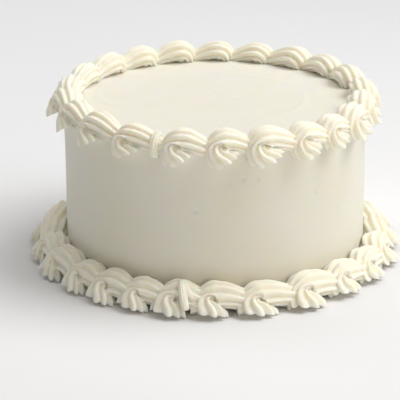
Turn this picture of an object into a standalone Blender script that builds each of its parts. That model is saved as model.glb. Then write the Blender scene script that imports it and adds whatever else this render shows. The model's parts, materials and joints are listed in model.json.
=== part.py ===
"""Iced cake: a tall round two-layer cake under smooth white icing, with a piped shell border round
its top edge and a second one round its foot. Metres, +Z up. The origin is the middle of the flat
underside, so the cake stands on Z = 0 and its axis is the Z axis."""

from math import cos, pi, radians, sin
import random

import bmesh
import bpy
from mathutils import Matrix, Vector

# Driving dimensions of the iced cake
MM = 0.001
CAKE_RADIUS = 103.5 * MM
CAKE_HEIGHT = 107.0 * MM
TOP_EDGE_ROUND = 3.0 * MM
FOOT_BEVEL = 1.0 * MM
CAKE_SEGMENTS = 60
GAP = 0.3 * MM
WHITE_ICING = (0.86, 0.83, 0.74)
PIPED_ICING = (0.88, 0.85, 0.76)
ICING_ROUGHNESS = 0.5

# Fusing and trimming the shells: the exact solver loses shells in this union, the manifold one keeps
# them all. The table is a block under Z = 0 that cuts the underside flat.
SOLVER = "MANIFOLD"
WELD = 0.01 * MM
TABLE_RADIUS = 200.0 * MM
TABLE_DEPTH = 40.0 * MM

# The star nozzle: how many ridges it cuts round the rope of icing, and how deep between them
RIDGES = 9
# Points round the rope, in half ridges from the crest that faces away from the curl: crests and
# grooves where they show, and wider steps on the side that lies on the cake
RING_STEPS = (-6, -4, -3, -2, -1, 0, 1, 2, 3, 4, 5, 6, 9)
GROOVE_DEPTH = 0.26
TOOTH_LENGTH = 1.6
TOOTH_FLARE = 0.12
TOOTH_CUT = 0.12
TOOTH_REACH = 0.12
HOLLOW_DEPTH = 2.0

# How unevenly the shells are piped, each way from the middle value
SIZE_SPREAD = 0.06
DRIFT = 0.6 * MM
TWIST = 0.2

# Paths of the piped rope, in millimetres: along the border towards the tail, outwards and upwards,
# then the rope's reach away from the curl, towards the curl and sideways. A shell starts low on the
# outside, runs up and back, curls over the crown and thins into its tail.
SHELL_PATH = (
    (4.6, 5.0, -5.4, 6.4, 7.6, 5.4),
    (0.2, 3.8, -3.6, 7.0, 3.6, 7.0),
    (-3.0, 1.8, -0.4, 7.4, 1.9, 8.8),
    (-2.0, 0.2, 2.2, 7.4, 2.0, 9.8),
    (2.0, -0.8, 2.6, 6.8, 3.6, 9.6),
    (8.0, -0.8, 0.6, 6.4, 5.0, 8.2),
    (15.0, -0.4, -2.2, 5.5, 4.8, 6.5),
    (22.5, 0.0, -4.6, 4.4, 4.4, 5.2),
    (29.5, 0.4, -6.2, 3.0, 3.0, 3.8),
)
SHELL_LENGTH = 29.4 * MM
# The end of the top border, pulled up against the first shell
STUB_PATH = (
    (0.6, 4.0, -7.0, 3.0, 3.0, 3.0),
    (0.0, 3.6, -3.0, 4.2, 4.2, 4.4),
    (-0.3, 1.6, 2.0, 4.4, 4.4, 5.4),
    (0.6, -1.5, 5.5, 3.6, 3.6, 4.6),
    (2.5, -4.0, 6.5, 2.4, 2.4, 2.8),
)
# The end of the bottom border, flicked up off its last shell, and the strand that fell from it
FLICK_PATH = (
    (-3.5, -7.5, 8.0, 3.0, 3.0, 3.0),
    (-1.0, -6.0, 9.2, 3.4, 3.4, 3.4),
    (4.0, -2.5, 7.6, 3.6, 3.6, 3.6),
    (8.5, 0.8, 4.2, 3.2, 3.2, 3.2),
    (13.5, 3.6, -0.2, 1.6, 1.6, 1.6),
)
STRAND_PATH = (
    (5.0, -1.5, 5.8, 2.6, 2.6, 2.6),
    (6.2, 2.5, 3.0, 3.0, 3.0, 3.0),
    (6.4, 5.5, -1.5, 2.6, 2.6, 2.6),
    (6.0, 7.5, -5.2, 1.4, 1.4, 1.4),
)
# Where along its path the rope gets a ring of points, and the step that gives the path's direction
STATIONS = (0.0, 0.15, 0.29, 0.42, 0.62, 0.88)
PATH_STEP = 0.004

# The two borders: middle line, shell size and lean, and the angles in degrees of the shells that
# face the viewer, from the join onwards and up to the join. The other shells share the rest.
BORDERS = {
    "top_border": {
        "radius": 102.0 * MM,
        "height": CAKE_HEIGHT + 3.0 * MM,
        "size": 1.0,
        "lean": -4.0,
        "opening": (257.0, 272.6, 287.2, 303.8, 318.0, 332.0),
        "closing": (220.0, 237.5),
        "count": 22,
        "joins": ((249.5, STUB_PATH),),
        "seed": 5,
    },
    "bottom_border": {
        "radius": 114.5 * MM,
        "height": 9.8 * MM,
        "size": 1.08,
        "lean": 14.0,
        "opening": (269.0, 283.3, 300.3, 316.2),
        "closing": (221.0, 233.0, 244.8, 256.9),
        "count": 25,
        "joins": ((256.9, FLICK_PATH), (256.9, STRAND_PATH)),
        "seed": 8,
    },
}


def clear_scene():
    for thing in list(bpy.data.objects):
        bpy.data.objects.remove(thing, do_unlink=True)


def make_material(name, colour, roughness):
    material = bpy.data.materials.new(name)
    material.use_nodes = True
    shader = material.node_tree.nodes["Principled BSDF"]
    shader.inputs["Base Color"].default_value = (*colour, 1.0)
    shader.inputs["Roughness"].default_value = roughness
    shader.inputs["Metallic"].default_value = 0.0
    return material


def object_from(bm, name, collection=None):
    bmesh.ops.recalc_face_normals(bm, faces=bm.faces)
    mesh = bpy.data.meshes.new(name)
    bm.to_mesh(mesh)
    bm.free()
    thing = bpy.data.objects.new(name, mesh)
    (collection or bpy.context.scene.collection).objects.link(thing)
    return thing


def iced_block(radius, height, foot, rounded):
    """A round block from the height foot up, with a softened top edge and, at Z = 0, a small bevel."""
    bm = bmesh.new()
    bmesh.ops.create_cone(
        bm, cap_ends=True, segments=CAKE_SEGMENTS, radius1=radius, radius2=radius, depth=height - foot
    )
    bmesh.ops.translate(bm, verts=bm.verts, vec=(0.0, 0.0, (height + foot) / 2))
    if rounded:
        top = [e for e in bm.edges if all(v.co.z > height - GAP for v in e.verts)]
        bmesh.ops.bevel(bm, geom=top, offset=rounded, segments=1, profile=0.5, affect="EDGES", material=-1)
    if foot == 0.0:
        low = [e for e in bm.edges if all(v.co.z < GAP for v in e.verts)]
        bmesh.ops.bevel(bm, geom=low, offset=FOOT_BEVEL, segments=1, profile=0.5, affect="EDGES", material=-1)
    return bm


def spline(rows, place):
    """A smooth value between the path's rows (Catmull-Rom), with place running from 0 to 1."""
    last = len(rows) - 1
    row = min(int(place * last), last - 1)
    f = place * last - row
    b, c = rows[row], rows[row + 1]
    a = rows[row - 1] if row > 0 else [2 * q - r for q, r in zip(b, c)]
    d = rows[row + 2] if row + 2 <= last else [2 * r - q for q, r in zip(b, c)]
    return [
        0.5 * (2 * q + (r - p) * f + (2 * p - 5 * q + 4 * r - s) * f * f + (3 * q - 3 * r + s - p) * f ** 3)
        for p, q, r, s in zip(a, b, c, d)
    ]


def ridge(angle):
    """1 on a ridge's rounded crest and 0 in the narrow groove between two ridges."""
    return abs(cos(angle * RIDGES / 2))


class Shell:
    """One piped shell: its place on its border, and its own size, lift and twist."""

    def __init__(self, border, angle, path, stretch, draw):
        self.border = border
        self.angle = angle
        self.path = path
        self.stretch = stretch
        self.size = border["size"] * draw.uniform(1.0 - SIZE_SPREAD, 1.0 + SIZE_SPREAD)
        self.lift = draw.uniform(-DRIFT, DRIFT)
        self.out = draw.uniform(-DRIFT, DRIFT)
        self.twist = draw.uniform(-TWIST, TWIST)

    def point(self, place, angle, narrow=1.0, shift=0.0):
        """A point of the rope's skin, with the shell's path bent round the cake."""
        here = spline(self.path, place)
        ahead = spline(self.path, min(place + PATH_STEP, 1.0))
        behind = spline(self.path, max(place - PATH_STEP, 0.0))
        forward = (Vector(ahead[:3]) - Vector(behind[:3])).normalized()
        side = Vector((0.0, 1.0, 0.0))
        side = (side - forward * side.dot(forward)).normalized()
        away = forward.cross(side)
        turned = angle + self.twist
        depth = GROOVE_DEPTH + TOOTH_CUT * max(1.0 - place / TOOTH_REACH, 0.0)
        flare = 1.0 + TOOTH_FLARE * max(1.0 - place / TOOTH_REACH, 0.0)
        groove = narrow * flare * (1.0 - depth * (1.0 - ridge(angle)))
        reach = here[3] if cos(turned) > 0.0 else here[4]
        local = Vector(here[:3]) + forward * shift
        local += groove * (away * reach * cos(turned) + side * here[5] * sin(turned))
        local *= self.size * MM
        local = Matrix.Rotation(radians(self.border["lean"]), 3, "X") @ local
        tail = max(local.x, 0.0) * (self.stretch - 1.0)
        around = self.angle + (local.x + tail) / self.border["radius"]
        far = self.border["radius"] + local.y + self.out
        return Vector((far * cos(around), far * sin(around), self.border["height"] + local.z + self.lift))

    def build(self):
        """Extrudes the nozzle's star along the path, with a hollow start and a closed tail."""
        bm = bmesh.new()
        centre = bm.verts.new(self.point(0.0, 0.0, 0.0, HOLLOW_DEPTH))
        bmesh.ops.create_circle(bm, cap_ends=False, segments=len(RING_STEPS), radius=1.0)
        ring = [v for v in bm.verts if v is not centre]
        loop = list(bm.edges)
        for edge in loop:
            bm.faces.new((*edge.verts, centre))
        angles = {v: step * pi / RIDGES for v, step in zip(ring, RING_STEPS)}
        self.lay(angles, STATIONS[0], TOOTH_LENGTH)
        for place in STATIONS[1:]:
            grown = bmesh.ops.extrude_edge_only(bm, edges=loop)["geom"]
            new = {v for v in grown if isinstance(v, bmesh.types.BMVert)}
            loop = [e for e in grown if isinstance(e, bmesh.types.BMEdge) and new.issuperset(e.verts)]
            angles = {v: next(angles[w] for e in v.link_edges for w in e.verts if w in angles) for v in new}
            self.lay(angles, place, 0.0)
        bmesh.ops.contextual_create(bm, geom=loop)
        bmesh.ops.triangulate(bm, faces=bm.faces)
        return bm

    def lay(self, angles, place, tooth):
        """Puts one ring of the rope at its place on the path, its crests drawn out into teeth."""
        for v, angle in angles.items():
            v.co = self.point(place, angle, 1.0, -tooth * ridge(angle))


def shell_angles(border):
    """From the shell after the join round to the shell before it, evenly where they aren't given."""
    opening = [radians(a) for a in border["opening"]]
    closing = [radians(a) + 2 * pi for a in border["closing"]]
    others = border["count"] - len(opening) - len(closing)
    step = (closing[0] - opening[-1]) / (others + 1)
    return opening + [opening[-1] + step * (i + 1) for i in range(others)] + closing


def border_shells(border):
    """Every piped piece of a border, in the order in which it is piped."""
    draw = random.Random(border["seed"])
    angles = shell_angles(border)
    shells = []
    for angle, following in zip(angles, angles[1:] + [angles[0] + 2 * pi]):
        pitch = (following - angle) * border["radius"]
        shells.append(Shell(border, angle, SHELL_PATH, pitch / SHELL_LENGTH, draw))
    for degrees, path in border["joins"]:
        shells.append(Shell(border, radians(degrees), path, 1.0, draw))
    return shells


def add_boolean(thing, operation, other):
    cut = thing.modifiers.new(operation.lower(), "BOOLEAN")
    cut.operation = operation
    cut.solver = SOLVER
    if isinstance(other, bpy.types.Collection):
        cut.operand_type = "COLLECTION"
        cut.collection = other
    else:
        cut.object = other


def keep_largest_body(bm):
    """Drops loose scraps and fills sealed hollows, which are bodies of their own in the mesh."""
    unseen = set(bm.faces)
    bodies = []
    while unseen:
        body = [unseen.pop()]
        for face in body:
            near = {f for e in face.edges for f in e.link_faces} & unseen
            unseen -= near
            body.extend(near)
        bodies.append(body)
    bodies.sort(key=len)
    scrap = [f for body in bodies[:-1] for f in body]
    bmesh.ops.delete(bm, geom=scrap, context="FACES")


def piped_ring(name, border, cutters):
    """The border's shells fused into one ring, and cut to sit on the cake and its table."""
    pieces = bpy.data.collections.new(name + "_shells")
    bpy.context.scene.collection.children.link(pieces)
    shells = border_shells(border)
    ring = object_from(shells[0].build(), name)
    for shell in shells[1:]:
        object_from(shell.build(), name + "_shell", pieces)
    add_boolean(ring, "UNION", pieces)
    for cutter in cutters:
        add_boolean(ring, "DIFFERENCE", cutter)
    bm = bmesh.new()
    bm.from_mesh(ring.evaluated_get(bpy.context.evaluated_depsgraph_get()).to_mesh())
    bmesh.ops.triangulate(bm, faces=bm.faces)
    bmesh.ops.remove_doubles(bm, verts=bm.verts, dist=WELD)
    keep_largest_body(bm)
    bm.to_mesh(ring.data)
    bm.free()
    ring.modifiers.clear()
    for piece in list(pieces.objects):
        bpy.data.objects.remove(piece, do_unlink=True)
    bpy.data.collections.remove(pieces)
    return ring


def main():
    clear_scene()
    icing = make_material("white_icing", WHITE_ICING, ICING_ROUGHNESS)
    piping = make_material("piped_icing", PIPED_ICING, ICING_ROUGHNESS)
    cake = object_from(iced_block(CAKE_RADIUS, CAKE_HEIGHT, 0.0, TOP_EDGE_ROUND), "iced_cake")
    cake.data.materials.append(icing)
    clear = iced_block(CAKE_RADIUS + GAP, CAKE_HEIGHT + GAP, -TABLE_DEPTH, TOP_EDGE_ROUND + GAP)
    room = object_from(clear, "cake_room")
    table = object_from(iced_block(TABLE_RADIUS, 0.0, -TABLE_DEPTH, 0.0), "table")
    for name, border in BORDERS.items():
        ring = piped_ring(name, border, (room, table))
        ring.data.materials.append(piping)
    for cutter in (room, table):
        bpy.data.objects.remove(cutter, do_unlink=True)


if __name__ == "__main__":
    main()
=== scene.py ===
# %% [markdown]
# # An iced cake with two piped borders
# The real cake is a tall round of two baked layers under a smooth coat of buttercream. A baker pipes
# a rope of shells round its top edge with a star nozzle, and a second one round its foot. This
# lesson dresses the measured solids of that cake in Blender: it loads them, sets up the camera and
# the light, and then makes each piece again with all of its fine ridges.

# %% Load the measured solids
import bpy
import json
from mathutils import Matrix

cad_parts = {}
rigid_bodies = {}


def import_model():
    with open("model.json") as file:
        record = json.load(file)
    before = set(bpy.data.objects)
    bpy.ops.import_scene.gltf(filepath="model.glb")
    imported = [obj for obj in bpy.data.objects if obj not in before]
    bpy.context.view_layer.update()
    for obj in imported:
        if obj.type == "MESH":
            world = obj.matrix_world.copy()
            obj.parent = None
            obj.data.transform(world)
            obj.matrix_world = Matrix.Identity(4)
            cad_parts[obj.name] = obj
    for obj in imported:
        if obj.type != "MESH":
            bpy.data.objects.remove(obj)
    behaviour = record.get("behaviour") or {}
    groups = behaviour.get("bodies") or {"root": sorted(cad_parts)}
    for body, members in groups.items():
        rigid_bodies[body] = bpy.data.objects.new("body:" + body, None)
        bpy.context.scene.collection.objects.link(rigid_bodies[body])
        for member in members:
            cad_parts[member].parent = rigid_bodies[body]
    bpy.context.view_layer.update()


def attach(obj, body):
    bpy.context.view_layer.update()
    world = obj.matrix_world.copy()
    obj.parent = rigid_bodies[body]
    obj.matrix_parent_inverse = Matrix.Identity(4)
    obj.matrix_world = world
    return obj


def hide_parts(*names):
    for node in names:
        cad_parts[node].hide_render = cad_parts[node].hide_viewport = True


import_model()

# %% [markdown]
# Every length below is in metres, and MM turns millimetres into metres, so that a baker's sizes can
# be read as they are spoken. The cake's own sizes are the ones that the solids were drawn with.

# %% The cake's sizes
import json
import random
from math import cos, degrees, pi, radians, sin

import bmesh
import bpy
from mathutils import Matrix, Vector, noise

MM = 0.001
CAKE_RADIUS = 103.5 * MM
CAKE_HEIGHT = 107.0 * MM
TOP_EDGE_ROUND = 3.0 * MM
FOOT_BEVEL = 1.0 * MM
print("cake", 2 * CAKE_RADIUS / MM, "mm across and", CAKE_HEIGHT / MM, "mm tall")

# %% [markdown]
# The photograph was taken with a long lens from a little above the table, about 21 degrees down.
# A long lens keeps the cake's sides almost parallel. The camera's place was worked out from the
# outlines of the cake and its borders, and a small sideways shift puts the cake a little right of the
# middle, as the photograph frames it.

# %% Camera
FRAME_PIXELS = 400
SENSOR = 36.0
LENS_PIXELS = 2014.24
CAMERA_PLACE = (0.0, -1.3154, 0.5399)
CAMERA_TILT = 0.3667
MIDDLE_PIXEL = 215.25

camera = bpy.data.objects.new("camera", bpy.data.cameras.new("camera"))
bpy.context.scene.collection.objects.link(camera)
camera.location = CAMERA_PLACE
camera.rotation_euler = (pi / 2 - CAMERA_TILT, 0.0, 0.0)
camera.data.sensor_width = SENSOR
camera.data.lens = SENSOR * LENS_PIXELS / FRAME_PIXELS
camera.data.shift_x = -(MIDDLE_PIXEL - FRAME_PIXELS / 2) / FRAME_PIXELS
bpy.context.scene.camera = camera
print("lens", round(camera.data.lens, 1), "mm, looking down", round(degrees(CAMERA_TILT), 1), "degrees")

# %% [markdown]
# The stage is one plain pale floor, wide enough that no view sees past its rim. A studio uses a wide
# sheet of matt white paper. The material is a soft off-white with very faint mottling, because a
# perfectly even floor looks like a missing one.

# %% Floor
FLOOR_RADIUS = 6.0
FLOOR_DROP = 0.2 * MM
FLOOR_SIDES = 96


def add_mesh_object(name, bm):
    """Turns a bmesh into an object of the scene, with its place in its mesh."""
    mesh = bpy.data.meshes.new(name)
    bm.to_mesh(mesh)
    bm.free()
    thing = bpy.data.objects.new(name, mesh)
    bpy.context.scene.collection.objects.link(thing)
    return thing


bm = bmesh.new()
bmesh.ops.create_circle(bm, cap_ends=True, segments=FLOOR_SIDES, radius=FLOOR_RADIUS)
bmesh.ops.translate(bm, verts=bm.verts, vec=(0.0, 0.0, -FLOOR_DROP))
floor = add_mesh_object("floor", bm)
print("floor", 2 * FLOOR_RADIUS, "m across")

# %% [markdown]
# A material in Blender is a small graph of nodes. The helpers below keep the graph of each finish
# short enough to read: one starts a material, one adds a node and fills its inputs by name.

# %% Material helpers
def start_material(name):
    """A new material and its Principled shader."""
    material = bpy.data.materials.new(name)
    material.use_nodes = True
    return material, material.node_tree.nodes["Principled BSDF"]


def add_node(material, kind, **inputs):
    """A node of the material, with its inputs set to values or linked to other nodes' outputs."""
    node = material.node_tree.nodes.new(kind)
    for name, value in inputs.items():
        socket = node.inputs[int(name[1:])] if name[1:].isdigit() else node.inputs[name.replace("_", " ")]
        if isinstance(value, bpy.types.NodeSocket):
            material.node_tree.links.new(value, socket)
        else:
            socket.default_value = value
    return node


def add_ramp(material, factor, stops):
    """A colour ramp through the given stops, each a place and a colour or one grey value."""
    ramp = add_node(material, "ShaderNodeValToRGB", Fac=factor)
    marks = ramp.color_ramp.elements
    while len(marks) < len(stops):
        marks.new(1.0)
    for mark, (place, colour) in zip(marks, stops):
        mark.position = place
        mark.color = (*colour, 1.0) if isinstance(colour, tuple) else (colour, colour, colour, 1.0)
    return ramp.outputs["Color"]


# %% Floor material
PAPER_TONES = ((0.3, (0.83, 0.835, 0.86)), (0.7, (0.85, 0.855, 0.875)))

matt_paper, shader = start_material("matt_paper")
spots = add_node(matt_paper, "ShaderNodeTexCoord").outputs["Object"]
mottle = add_node(matt_paper, "ShaderNodeTexNoise", Vector=spots, Scale=3.0, Detail=3.0).outputs["Fac"]
tone = add_ramp(matt_paper, mottle, PAPER_TONES)
matt_paper.node_tree.links.new(tone, shader.inputs["Base Color"])
shader.inputs["Roughness"].default_value = 0.9
shader.inputs["Specular IOR Level"].default_value = 0.2
floor.data.materials.append(matt_paper)
print("floor material:", matt_paper.name)

# %% [markdown]
# The light in the photograph is broad daylight from the right, a little high, with no hard shadow:
# the top of the cake is the brightest, the right side is nearly as bright, and the left side lies in
# soft shade. Five sources stand for it. A wide sun-like one, the window, gives the main direction
# everywhere alike. A large panel close to the cake's right makes the floor fall off to the left. A
# ceiling light lifts what faces up. A second panel, behind on the left, gives the shaded side its
# pale edge. A warm glow from low in front is the light that a room throws back. A pale sky fills
# the rest.

# %% Light
DAYLIGHT = (1.0, 0.99, 0.97)
ROOM_GLOW = (1.0, 0.92, 0.74)
CAKE_MIDDLE = (0.0, 0.0, 0.05)
CAKE_FOOT = (0.0, 0.0, 0.02)
WINDOW_PLACE = (1.3, 0.25, 2.0)
WINDOW_ANGLE = 40.0
WINDOW_STRENGTH = 1.15
AREA_LIGHTS = (
    ("panel", (0.95, -0.15, 1.0), CAKE_MIDDLE, DAYLIGHT, 0.9, 7.0),
    ("ceiling", (0.0, 0.3, 1.4), CAKE_MIDDLE, DAYLIGHT, 1.2, 6.6),
    ("back", (-1.2, 0.8, 0.9), CAKE_MIDDLE, DAYLIGHT, 0.9, 4.2),
    ("glow", (0.4, -1.15, 0.22), CAKE_FOOT, ROOM_GLOW, 0.8, 3.3),
)
SKY_TONE = (1.0, 0.98, 0.94)
SKY_STRENGTH = 0.16


def add_light(kind, name, place, aim, colour):
    """A light at a place, pointed at an aim."""
    light = bpy.data.objects.new(name, bpy.data.lights.new(name, kind))
    bpy.context.scene.collection.objects.link(light)
    light.location = place
    light.rotation_euler = (Vector(aim) - Vector(place)).to_track_quat("-Z", "Y").to_euler()
    light.data.color = colour
    return light


window = add_light("SUN", "window", WINDOW_PLACE, CAKE_MIDDLE, DAYLIGHT)
window.data.angle = radians(WINDOW_ANGLE)
window.data.energy = WINDOW_STRENGTH
for name, place, aim, colour, size, power in AREA_LIGHTS:
    lamp = add_light("AREA", name, place, aim, colour)
    lamp.data.size = size
    lamp.data.energy = power
sky = bpy.data.worlds.new("sky")
sky.use_nodes = True
sky.node_tree.nodes["Background"].inputs["Color"].default_value = (*SKY_TONE, 1.0)
sky.node_tree.nodes["Background"].inputs["Strength"].default_value = SKY_STRENGTH
bpy.context.scene.world = sky
bpy.context.scene.view_settings.view_transform = "Standard"

# %% [markdown]
# Buttercream is sugar, butter and air. Light goes a few millimetres into it before it comes out, so
# shaded grooves glow a warm cream instead of going grey. Subsurface scattering does this: red light
# travels furthest and blue the least. The surface has a soft satin gloss from the butter, patches
# that are a little glossier than others, and tiny bubbles that a fine bump stands for.

# %% Buttercream
CREAM_GLOSS = ((0.3, 0.5), (0.7, 0.66))
CREAM_IOR = 1.45


def make_buttercream(name, pale, deep, streaks, grain, milkiness, paths):
    """Buttercream from pale to deep: streaks stretches its marks, paths is how far light goes in."""
    cream, shader = start_material(name)
    nodes = cream.node_tree
    place = add_node(cream, "ShaderNodeTexCoord").outputs["Object"]
    drawn = add_node(cream, "ShaderNodeMapping", Vector=place, Scale=streaks).outputs["Vector"]
    patches = add_node(cream, "ShaderNodeTexNoise", Vector=place, Scale=22.0, Detail=4.0).outputs["Fac"]
    tint = add_ramp(cream, patches, ((0.3, pale), (0.72, deep)))
    gloss = add_ramp(cream, patches, CREAM_GLOSS)
    marks = add_node(cream, "ShaderNodeTexNoise", Vector=drawn, Scale=1.0, Detail=5.0, Roughness=0.6)
    low = add_node(cream, "ShaderNodeBump", Strength=0.5, Distance=0.0004, Height=marks.outputs["Fac"])
    fine = add_node(cream, "ShaderNodeTexNoise", Vector=place, Scale=grain, Detail=3.0).outputs["Fac"]
    skin = add_node(
        cream, "ShaderNodeBump", Strength=0.25, Distance=0.0002, Height=fine, Normal=low.outputs["Normal"]
    )
    nodes.links.new(tint, shader.inputs["Base Color"])
    nodes.links.new(gloss, shader.inputs["Roughness"])
    nodes.links.new(skin.outputs["Normal"], shader.inputs["Normal"])
    shader.inputs["Subsurface Weight"].default_value = milkiness
    shader.inputs["Subsurface Radius"].default_value = paths
    shader.inputs["Subsurface Scale"].default_value = 1.0
    shader.inputs["IOR"].default_value = CREAM_IOR
    return cream


smoothed_cream = make_buttercream(
    "smoothed_buttercream",
    pale=(0.824, 0.804, 0.738),
    deep=(0.804, 0.777, 0.66),
    streaks=(7.0, 7.0, 60.0),
    grain=900.0,
    milkiness=0.6,
    paths=(0.0042, 0.0028, 0.0015),
)
# The piped cream is warmer than the coat, which is the icing's own tone. It is also a good deal paler, and
# that is painted light: it stands in for the extra light that the shells' up-facing curls catch, which the
# coat's side does not.
piped_cream_painted_light = make_buttercream(
    "piped_buttercream_painted_light",
    pale=(0.955, 0.905, 0.793),
    deep=(0.945, 0.885, 0.758),
    streaks=(60.0, 60.0, 60.0),
    grain=700.0,
    milkiness=0.64,
    paths=(0.0060, 0.0042, 0.0024),
)
print("icing finishes:", smoothed_cream.name, piped_cream_painted_light.name)

# %% [markdown]
# The smooth coat is spread with a long spatula while the cake goes round on a turntable. It is a
# turned form, so half of its outline is drawn with four points, its corners are rounded with a vertex
# bevel, and a spin carries it all the way round. Spinning one outline is quicker and truer than
# rounding a cylinder, and it gives long even strips of faces that the spatula's marks can follow.

# %% The coat's outline
COAT_STEPS = 480
COAT_CUTS = 72
CORNER_STEPS = 5

coat = bmesh.new()
corners = [
    coat.verts.new(place)
    for place in (
        (0.0, 0.0, 0.0), (CAKE_RADIUS, 0.0, 0.0), (CAKE_RADIUS, 0.0, CAKE_HEIGHT), (0.0, 0.0, CAKE_HEIGHT)
    )
]
for start, end in zip(corners, corners[1:]):
    coat.edges.new((start, end))
long_edges = list(coat.edges)[1:]
bmesh.ops.subdivide_edges(coat, edges=long_edges, cuts=COAT_CUTS)
for height, offset in ((0.0, FOOT_BEVEL), (CAKE_HEIGHT, TOP_EDGE_ROUND)):
    corner = min(coat.verts, key=lambda v: (v.co - Vector((CAKE_RADIUS, 0.0, height))).length)
    bmesh.ops.bevel(
        coat, geom=[corner], offset=offset, segments=CORNER_STEPS, profile=0.5, affect="VERTICES", material=-1
    )
print("outline:", len(coat.verts), "points")

# %% Turn the outline round the cake's axis
bmesh.ops.spin(
    coat,
    geom=coat.verts[:] + coat.edges[:],
    cent=(0.0, 0.0, 0.0),
    axis=(0.0, 0.0, 1.0),
    dvec=(0.0, 0.0, 0.0),
    angle=2 * pi,
    steps=COAT_STEPS,
    use_merge=True,
)
bmesh.ops.remove_doubles(coat, verts=coat.verts, dist=0.01 * MM)
bmesh.ops.recalc_face_normals(coat, faces=coat.faces)
print("coat:", len(coat.faces), "faces")

# %% [markdown]
# No spread coat is perfectly true. The spatula leaves the side a fraction of a millimetre in and out
# in long level bands, with a few nicks where bubbles tore open, and the top keeps a few shallow arcs
# where the blade turned. All are real changes of the surface here, because low light from the side
# shows them as soft shapes.

# %% Spatula marks
BAND_DEPTH = 0.75 * MM
BAND_GRAIN = (7.0, 7.0, 26.0)
SLOW_GRAIN = (9.0, 9.0, 5.0)
SLOW_LAYER = 8.0
FOOT_FADE = 8.0 * MM
ARC_DEPTH = 0.36 * MM
ARC_WIDTH = 1.6 * MM
ARC_RISE = 2.2
ARC_GRAIN = (20.0, 20.0, 0.0)
ARC_LAYERS = 90.0
TOP_GRAIN = (16.0, 16.0, 0.0)
TOP_LAYER = 3.0
SWEEPS = (
    (-0.030, -0.048, 0.062), (0.012, 0.010, 0.050), (0.034, 0.040, 0.038), (-0.052, 0.018, 0.030)
)
NICK_DEPTH = 1.4 * MM
NICK_RADIUS = 2.4 * MM
NICK_SQUASH = 1.8
NICKS = (
    (274.6, 84.7), (285.1, 86.9), (280.0, 88.5), (263.0, 66.0), (309.0, 71.0), (41.0, 58.0), (140.0, 83.0)
)


def unevenness(v, grain, layer=0.0):
    """Smooth noise from -1 to 1 at a point; a larger grain makes shorter waves."""
    return noise.noise(Vector((v.x * grain[0], v.y * grain[1], v.z * grain[2] + layer)))


def spatula_bands(v):
    """How far the side stands out here: long level bands that wander round the cake."""
    return BAND_DEPTH * (0.5 * unevenness(v, BAND_GRAIN) + 0.8 * unevenness(v, SLOW_GRAIN, SLOW_LAYER))


def nicks(v):
    """How deep the side is nicked here, where bubbles tore open under the blade."""
    depth = 0.0
    for angle, height in NICKS:
        turn = radians(angle)
        off = v - Vector((CAKE_RADIUS * cos(turn), CAKE_RADIUS * sin(turn), height * MM))
        off.z *= NICK_SQUASH
        depth = max(depth, NICK_DEPTH * (1.0 - off.length / NICK_RADIUS))
    return depth


def spatula_arcs(v):
    """How high the top stands here: a slow unevenness, and the low ridges of a few blade sweeps."""
    height = 0.5 * unevenness(v, TOP_GRAIN, TOP_LAYER)
    for x, y, radius in SWEEPS:
        off = (Vector((v.x - x, v.y - y)).length - radius) / ARC_WIDTH
        pressed = max(0.0, unevenness(v, ARC_GRAIN, radius * ARC_LAYERS) + 0.1)
        height += ARC_RISE * pressed / (1.0 + off * off)
    return ARC_DEPTH * height


for v in coat.verts:
    out = Vector((v.co.x, v.co.y, 0.0))
    share = min(max(v.co.z / FOOT_FADE, 0.0), 1.0)
    if out.length > CAKE_RADIUS - TOP_EDGE_ROUND:
        v.co += out.normalized() * (spatula_bands(v.co) * share - nicks(v.co))
    elif v.co.z > CAKE_HEIGHT / 2:
        v.co.z += spatula_arcs(v.co)
smooth_icing = add_mesh_object("smooth_icing", coat)
smooth_icing.data.shade_smooth()
smooth_icing.data.materials.append(smoothed_cream)
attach(smooth_icing, "root")
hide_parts("iced_cake")
print("smooth icing:", len(smooth_icing.data.polygons), "faces")

# %% [markdown]
# A piped shell is one squeeze of a star nozzle. The rope of icing comes out with a ridge for each
# gap between the nozzle's teeth. The hand starts low on the outside, lets the icing swell up and
# back, curls it over and pulls it along into a thin tail, and the next shell sits on that tail. So
# each shell is a star shape drawn along a curled path. A curve with a bevel could draw it, but the
# rope is wider than it is thick and its ridges start as blunt fingers, so here a ring of points is
# extruded from place to place along the path.

# %% The nozzle
RIDGES = 10
POINTS_PER_RIDGE = 7
GROOVE_DEPTH = 0.25
MOUTH_DEPTH = 0.06
CREST_WIDTH = 0.6


def ridge(angle):
    """1 on a ridge's rounded crest and 0 in the narrow groove between two ridges."""
    return (0.5 + 0.5 * cos(angle * RIDGES)) ** CREST_WIDTH


print("from a crest into its groove:", [round(ridge(pi * i / RIDGES / 4), 2) for i in range(5)])

# %% [markdown]
# The paths of the rope are given by a few rows of numbers each. The first three numbers of a row say
# where the middle of the rope is: millimetres along the border, outwards and up. The other three say
# how far the rope reaches from there: away from its curl, towards its curl, and to its sides. It
# flares where the icing leaves the nozzle and thins out to the tail. The foot's shells are plumper
# and stand on the table. The top border ends in a short stub pulled up against its first shell, and
# the foot border in a flick off its last shell and the strand that fell from it.
#
# The core of a shell is the middle of its curl. It is filled with an egg of icing, whose three
# reaches are given last.

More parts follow.
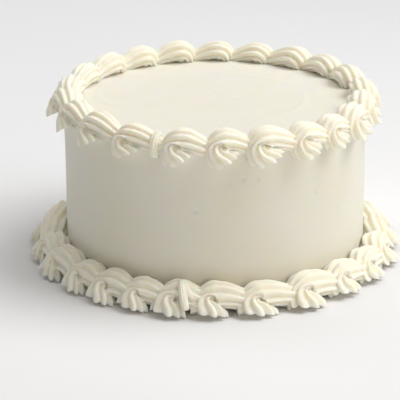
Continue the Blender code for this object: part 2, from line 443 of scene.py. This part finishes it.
# %% The paths of the rope
SHELL_LENGTH = 29.4 * MM
TOP_PATH = (
    (2.4, 6.6, -7.6, 13.6, 8.8, 6.8),
    (0.6, 6.0, -6.0, 11.0, 7.4, 7.4),
    (-1.8, 4.2, -4.0, 8.8, 5.8, 8.6),
    (-3.2, 1.4, -1.0, 8.2, 5.2, 9.6),
    (0.0, -1.0, 2.2, 9.2, 5.4, 10.4),
    (6.8, -1.2, 2.0, 8.6, 5.4, 9.2),
    (14.0, -0.4, -0.2, 7.2, 5.0, 7.4),
    (22.0, 0.0, -2.8, 5.6, 4.4, 6.0),
    (29.5, 0.4, -5.0, 3.8, 3.4, 4.6),
)
TOP_CORE = (1.4, 0.6, -0.8)
FOOT_PATH = (
    (-1.6, 6.6, -8.2, 12.8, 10.8, 6.8),
    (-1.9, 6.0, -6.4, 11.4, 9.0, 7.4),
    (-2.6, 4.2, -4.6, 10.0, 6.4, 8.6),
    (-2.8, 1.4, -2.2, 9.8, 5.2, 9.8),
    (0.4, -1.2, -0.4, 12.0, 5.6, 10.6),
    (6.8, -1.6, 0.0, 11.2, 6.0, 10.0),
    (13.5, -0.6, -0.4, 9.4, 6.4, 9.0),
    (21.5, 0.0, -2.2, 7.6, 5.6, 7.8),
    (29.0, 0.4, -4.2, 5.6, 4.6, 6.2),
)
FOOT_CORE = (2.4, 0.6, -2.6)
CORE_SIZE = (4.2, 9.8, 3.4)
STUB_PATH = (
    (0.0, 4.8, -7.8, 2.0, 2.0, 2.6),
    (0.0, 4.0, -3.2, 3.0, 3.0, 4.2),
    (0.0, 2.0, 2.2, 3.2, 3.2, 5.0),
    (0.6, -1.2, 5.4, 3.0, 3.0, 4.4),
    (1.8, -3.6, 6.4, 2.2, 2.2, 2.8),
)
FLICK_PATH = (
    (2.4, -4.0, 11.2, 1.2, 1.2, 1.6),
    (4.6, 0.0, 10.6, 2.4, 2.4, 3.4),
    (7.8, 4.0, 7.6, 2.6, 2.6, 3.4),
    (11.2, 6.8, 3.8, 2.0, 2.0, 2.6),
    (15.0, 8.0, 0.2, 0.9, 0.9, 1.0),
)
STRAND_PATH = (
    (3.8, 0.6, 10.4, 1.4, 1.4, 2.0),
    (4.8, 5.0, 7.6, 2.2, 2.2, 3.0),
    (6.2, 8.4, 3.0, 2.4, 2.4, 3.0),
    (7.8, 10.4, -1.8, 2.0, 2.0, 2.4),
    (8.8, 10.8, -5.4, 0.9, 0.9, 1.0),
)
print("a shell runs", SHELL_LENGTH / MM, "mm from its curl to its tail")

# %% [markdown]
# The rope has to run smoothly between the rows. A Catmull-Rom curve passes through every row and
# bends evenly from one to the next, for the place of the rope and for its width alike. Each path is
# worked out once at many places and averaged a little, so that its tightest bend has no corner. At
# each place it has three directions at right angles: forward along the rope, sideways, and away from
# the curl.

# %% Smooth frames along a path
FRAMES = 200
BLUR = 9


def along(rows, place):
    """The path's values at a place between 0, its start, and 1, its end."""
    last = len(rows) - 1
    row = min(int(place * last), last - 1)
    f = place * last - row
    b, c = rows[row], rows[row + 1]
    a = rows[row - 1] if row > 0 else [2 * q - r for q, r in zip(b, c)]
    d = rows[row + 2] if row + 2 <= last else [2 * r - q for q, r in zip(b, c)]
    return [
        0.5 * (2 * q + (r - p) * f + (2 * p - 5 * q + 4 * r - s) * f * f + (3 * q - 3 * r + s - p) * f ** 3)
        for p, q, r, s in zip(a, b, c, d)
    ]


def path_frames(rows):
    """The rope's middle, its three directions and its three reaches at every place of the path."""
    exact = [along(rows, i / FRAMES) for i in range(FRAMES + 1)]
    values = []
    for i in range(FRAMES + 1):
        near = exact[max(i - BLUR, 0):i + BLUR + 1]
        values.append([sum(column) / len(near) for column in zip(*near)])
    frames = []
    for i, here in enumerate(values):
        ahead, behind = values[min(i + 1, FRAMES)], values[max(i - 1, 0)]
        forward = (Vector(ahead[:3]) - Vector(behind[:3])).normalized()
        side = Vector((0.0, 1.0, 0.0))
        side = (side - forward * side.dot(forward)).normalized()
        frames.append((Vector(here[:3]), forward, side, forward.cross(side), here[3:]))
    return frames


PATH_FRAMES = {
    path: path_frames(path) for path in (TOP_PATH, FOOT_PATH, STUB_PATH, FLICK_PATH, STRAND_PATH)
}
print("frames on each path:", FRAMES + 1)

# %% [markdown]
# The two borders differ in how wide a circle they follow, how large and how upright their shells
# are, and where the hand started and stopped. The shells that face the camera stand at the angles
# read from the photograph, and the ones behind share what is left. Every shell gets its own small
# change of size, lift and twist from a seeded draw, because no two squeezes are the same.

# %% The two borders
SIZE_SPREAD = 0.06
DRIFT = 0.6 * MM
TWIST = 0.16

BORDERS = {
    "top_border": {
        "path": TOP_PATH,
        "core": TOP_CORE,
        "first_crest": -0.05,
        "radius": 102.0 * MM,
        "height": CAKE_HEIGHT + 3.0 * MM,
        "size": 1.0,
        "lean": -4.0,
        "opening": (257.0, 272.6, 287.2, 303.8, 318.0, 332.0),
        "closing": (220.0, 237.5),
        "count": 22,
        "joins": ((248.3, STUB_PATH),),
        "seed": 5,
    },
    "bottom_border": {
        "path": FOOT_PATH,
        "core": FOOT_CORE,
        "first_crest": -0.07,
        "radius": 114.5 * MM,
        "height": 8.8 * MM,
        "size": 1.08,
        "lean": 10.0,
        "opening": (269.0, 283.3, 300.3, 316.2),
        "closing": (221.0, 233.0, 244.8, 256.9),
        "count": 25,
        "joins": ((256.9, FLICK_PATH), (256.9, STRAND_PATH)),
        "seed": 8,
    },
}


def shell_angles(border):
    """From the shell after the join round to the shell before it, evenly where they aren't given."""
    opening = [radians(a) for a in border["opening"]]
    closing = [radians(a) + 2 * pi for a in border["closing"]]
    others = border["count"] - len(opening) - len(closing)
    step = (closing[0] - opening[-1]) / (others + 1)
    return opening + [opening[-1] + step * (i + 1) for i in range(others)] + closing


print({name: len(shell_angles(border)) for name, border in BORDERS.items()}, "shells")

# %% [markdown]
# One function gives any point of a rope's skin: how far along, and how far round. It lays the star
# across the path, grooves it, leans it, and bends the whole path round the cake. The nozzle is held
# at a slant, so the ridges on the outside of the curl start later than the inner ones, and their
# blunt starts fan out like fingers. A slow tremor of the hand and small thick and thin places come
# from noise, so that the ridges aren't ruled lines. Blender's vector noise starts from the clock
# unless it is given a seed, so it is given one, and the borders come out the same each run.

# %% A point of the rope's skin
SLANT = 0.27
SLANT_SPREAD = 2.5
SLANT_END = 0.6
MOUTH_REACH = 0.3
MOUTH_FLARE = 0.10
TREMOR = 0.05
TREMOR_GRAIN = 1.7
TREMOR_PACE = 7.0
TREMOR_LAYERS = 40.0
WANDER = 0.45
WANDER_PACE = 3.0
WANDER_LAYERS = 50.0
WANDER_SEED = 1
FINGER = 2.2
INNER_FINGER = 1.2
BLUNTNESS = 0.55
JOIN_FINGER = 1.0
JOIN_GROOVES = 0.6

noise.seed_set(WANDER_SEED)


class Shell:
    """One squeeze of the nozzle: its place on its border, and its own size, lift and twist."""

    def __init__(self, border, angle, path, stretch, draw):
        self.border, self.angle, self.stretch = border, angle, stretch
        self.frames = PATH_FRAMES[path]
        self.full = path == border["path"]
        self.size = border["size"] * draw.uniform(1.0 - SIZE_SPREAD, 1.0 + SIZE_SPREAD)
        self.lift = draw.uniform(-DRIFT, DRIFT)
        self.out = draw.uniform(-DRIFT, DRIFT)
        self.twist = border["first_crest"] + draw.uniform(-TWIST, TWIST)

    def bend(self, local):
        """Where a point in the shell's own millimetres is on the cake, leant and bent round it."""
        local = Matrix.Rotation(radians(self.border["lean"]), 3, "X") @ (local * self.size * MM)
        tail = max(local.x, 0.0) * (self.stretch - 1.0)
        around = self.angle + (local.x + tail) / self.border["radius"]
        far = self.border["radius"] + local.y + self.out
        return Vector((far * cos(around), far * sin(around), self.border["height"] + local.z + self.lift))

    def point(self, place, angle, narrow=1.0, shift=0.0):
        """The skin at a place along the path and an angle round it."""
        turned = angle + self.twist
        mouth = max(1.0 - place / MOUTH_REACH, 0.0)
        if self.full:
            place += SLANT * (0.5 + 0.5 * cos(turned)) ** SLANT_SPREAD * max(1.0 - place / SLANT_END, 0.0)
        middle, forward, side, away, reaches = self.frames[round(place * FRAMES)]
        hand = Vector((cos(angle), sin(angle), place * TREMOR_PACE + self.angle * TREMOR_LAYERS))
        tremor = TREMOR * noise.noise(hand * TREMOR_GRAIN)
        swell = narrow * (1.0 + MOUTH_FLARE * mouth) * (1.0 + tremor)
        depth = GROOVE_DEPTH + MOUTH_DEPTH * mouth if self.full else GROOVE_DEPTH * JOIN_GROOVES
        skin = swell * (1.0 - depth * (1.0 - ridge(angle)))
        reach = reaches[0] if cos(turned) > 0.0 else reaches[1]
        local = middle + forward * shift
        local += skin * (away * reach * cos(turned) + side * reaches[2] * sin(turned))
        local += WANDER * noise.noise_vector(Vector((self.angle * WANDER_LAYERS, place * WANDER_PACE, 0.0)))
        return self.bend(local)

    def finger(self, angle):
        """How far a ridge's blunt start is drawn out of the mouth, longest inside the curl."""
        blunt = ridge(angle) ** BLUNTNESS
        if self.full:
            return FINGER * blunt + INNER_FINGER * (0.5 - 0.5 * cos(angle + self.twist)) ** 2
        return JOIN_FINGER * blunt


def border_shells(border):
    """Every squeeze of a border, in the order in which it is piped."""
    draw = random.Random(border["seed"])
    angles = shell_angles(border)
    shells = []
    for angle, following in zip(angles, angles[1:] + [angles[0] + 2 * pi]):
        pitch = (following - angle) * border["radius"]
        shells.append(Shell(border, angle, border["path"], pitch / SHELL_LENGTH, draw))
    for degrees, path in border["joins"]:
        shells.append(Shell(border, radians(degrees), path, 1.0, draw))
    return shells


first = border_shells(BORDERS["top_border"])[0]
print("first shell starts at", [round(value / MM, 1) for value in first.point(0.0, 0.0)], "mm")

# %% [markdown]
# Extruding the ring: a circle of points is laid on the path's start with its crests drawn back into
# fingers, a few shrinking rings sink into a small hollow inside it, and the ring is then extruded
# along the path and laid again at every station. The tail's end is closed, because a Boolean needs
# a closed body. The egg of icing in the middle of the curl starts as a sphere.

# %% Pipe one shell
STATION_COUNT = 46
LAST_STATION = 0.88
HOLLOW_DEPTH = 2.0
HOLLOW_RINGS = ((0.86, 0.15), (0.62, 0.9), (0.34, 1.6))
EGG_SIDES = 20
EGG_RINGS = 10


def grow_ring(bm, loop, angles):
    """Extrudes the open ring once and says which new point has which angle."""
    grown = bmesh.ops.extrude_edge_only(bm, edges=loop)["geom"]
    new = {v for v in grown if isinstance(v, bmesh.types.BMVert)}
    loop = [e for e in grown if isinstance(e, bmesh.types.BMEdge) and new.issuperset(e.verts)]
    return loop, {v: next(angles[w] for e in v.link_edges for w in e.verts if w in angles) for v in new}


def pipe_shell(shell):
    """Extrudes the nozzle's star along the shell's path, with a hollow mouth and a closed tail."""
    bm = bmesh.new()
    count = RIDGES * POINTS_PER_RIDGE
    bmesh.ops.create_circle(bm, cap_ends=False, segments=count, radius=1.0)
    bm.verts.ensure_lookup_table()
    rim = {v: 2 * pi * i / count for i, v in enumerate(bm.verts)}
    rim_loop = list(bm.edges)
    for v, angle in rim.items():
        v.co = shell.point(0.0, angle, 1.0, -shell.finger(angle))
    loop, angles = rim_loop, rim
    for narrow, sunk in HOLLOW_RINGS:
        loop, angles = grow_ring(bm, loop, angles)
        for v, angle in angles.items():
            v.co = shell.point(0.0, angle, narrow, sunk - shell.finger(angle) * narrow ** 2)
    centre = bm.verts.new(shell.point(0.0, 0.0, 0.0, HOLLOW_DEPTH))
    for edge in loop:
        bm.faces.new((*edge.verts, centre))
    loop, angles = rim_loop, rim
    for i in range(1, STATION_COUNT + 1):
        loop, angles = grow_ring(bm, loop, angles)
        for v, angle in angles.items():
            v.co = shell.point(LAST_STATION * i / STATION_COUNT, angle)
    bmesh.ops.contextual_create(bm, geom=loop)
    bmesh.ops.triangulate(bm, faces=bm.faces)
    bmesh.ops.recalc_face_normals(bm, faces=bm.faces)
    return bm


def fill_curl(shell):
    """The icing in the middle of a shell's curl."""
    middle = Vector(shell.border["core"])
    bm = bmesh.new()
    bmesh.ops.create_uvsphere(bm, u_segments=EGG_SIDES, v_segments=EGG_RINGS, radius=1.0)
    for v in bm.verts:
        v.co = shell.bend(middle + v.co * Vector(CORE_SIZE))
    bmesh.ops.triangulate(bm, faces=bm.faces)
    bmesh.ops.recalc_face_normals(bm, faces=bm.faces)
    return bm


sample = pipe_shell(first)
odd_edges = sum(not e.is_manifold for e in sample.edges)
print("one shell:", len(sample.faces), "triangles, edges not between two of them:", odd_edges)
sample.free()

# %% [markdown]
# On the cake the shells melt into each other where they touch. Here they are fused with one Boolean
# union on a collection, which also takes away what is buried. The ring is then trimmed with a plain
# block a little smaller than the cake, so that it sits in the coat without a gap, and with a block
# under the table's level, which leaves the foot flat. The solver gives back a closed mesh, so nothing
# is welded afterwards.

# %% Fuse a border into one piece
BITE = 0.65 * MM
TABLE_RADIUS = 200.0 * MM
TABLE_DEPTH = 40.0 * MM
BLOCK_SIDES = 180
BLOCK_EDGE_STEPS = 6
CREASE = radians(50.0)


def trimming_block(name, radius, low, high):
    """A plain round block to trim with, its upper edge rounded if it stands above the table."""
    bm = bmesh.new()
    bmesh.ops.create_cone(
        bm, cap_ends=True, segments=BLOCK_SIDES, radius1=radius, radius2=radius, depth=high - low
    )
    bmesh.ops.translate(bm, verts=bm.verts, vec=(0.0, 0.0, (low + high) / 2))
    if high > 0.0:
        rim = [e for e in bm.edges if all(v.co.z > high - MM for v in e.verts)]
        bmesh.ops.bevel(
            bm,
            geom=rim,
            offset=TOP_EDGE_ROUND,
            segments=BLOCK_EDGE_STEPS,
            profile=0.5,
            affect="EDGES",
            material=-1,
        )
    return add_mesh_object(name, bm)


def add_boolean(thing, operation, other):
    """Adds a Boolean with an object or a collection."""
    cut = thing.modifiers.new(operation.lower(), "BOOLEAN")
    cut.operation = operation
    cut.solver = "MANIFOLD"
    if isinstance(other, bpy.types.Collection):
        cut.operand_type = "COLLECTION"
        cut.collection = other
    else:
        cut.object = other


def drop_scraps(bm):
    """Keeps the largest body, the ring: loose scraps and sealed hollows are smaller ones."""
    unseen = set(bm.faces)
    bodies = []
    while unseen:
        body = [unseen.pop()]
        for face in body:
            near = {f for e in face.edges for f in e.link_faces} & unseen
            unseen -= near
            body.extend(near)
        bodies.append(body)
    bodies.sort(key=len)
    bmesh.ops.delete(bm, geom=[f for body in bodies[:-1] for f in body], context="FACES")
    return len(bodies) - 1


def pipe_border(name, node, border, trims):
    """Pipes, fuses and trims one border, and stands it for its solid."""
    pieces = bpy.data.collections.new(name + "_shells")
    bpy.context.scene.collection.children.link(pieces)
    shells = border_shells(border)
    ring = add_mesh_object(name, pipe_shell(shells[0]))
    for shell in shells[1:]:
        pieces.objects.link(add_mesh_object(name + "_shell", pipe_shell(shell)))
    for shell in shells:
        if shell.full:
            pieces.objects.link(add_mesh_object(name + "_core", fill_curl(shell)))
    add_boolean(ring, "UNION", pieces)
    for trim in trims:
        add_boolean(ring, "DIFFERENCE", trim)
    bm = bmesh.new()
    bm.from_mesh(ring.evaluated_get(bpy.context.evaluated_depsgraph_get()).to_mesh())
    bmesh.ops.triangulate(bm, faces=bm.faces)
    scraps = drop_scraps(bm)
    bm.to_mesh(ring.data)
    odd_edges = sum(not e.is_manifold for e in bm.edges)
    print(name, len(bm.faces), "triangles, edges not between two of them:", odd_edges)
    print(scraps, "scraps dropped")
    bm.free()
    ring.modifiers.clear()
    for piece in list(pieces.objects):
        bpy.data.objects.remove(piece, do_unlink=True)
    bpy.data.collections.remove(pieces)
    ring.data.shade_smooth()
    ring.data.set_sharp_from_angle(angle=CREASE)
    ring.data.materials.clear()
    ring.data.materials.append(piped_cream_painted_light)
    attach(ring, "root")
    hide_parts(node)
    return ring


# %% Pipe both borders
cake_block = trimming_block("cake_block", CAKE_RADIUS - BITE, -TABLE_DEPTH, CAKE_HEIGHT - BITE)
table_block = trimming_block("table_block", TABLE_RADIUS, -TABLE_DEPTH, 0.0)
for name, node in (("piped_top_border", "top_border"), ("piped_foot_border", "bottom_border")):
    pipe_border(name, node, BORDERS[node], (cake_block, table_block))
for block in (cake_block, table_block):
    bpy.data.objects.remove(block, do_unlink=True)
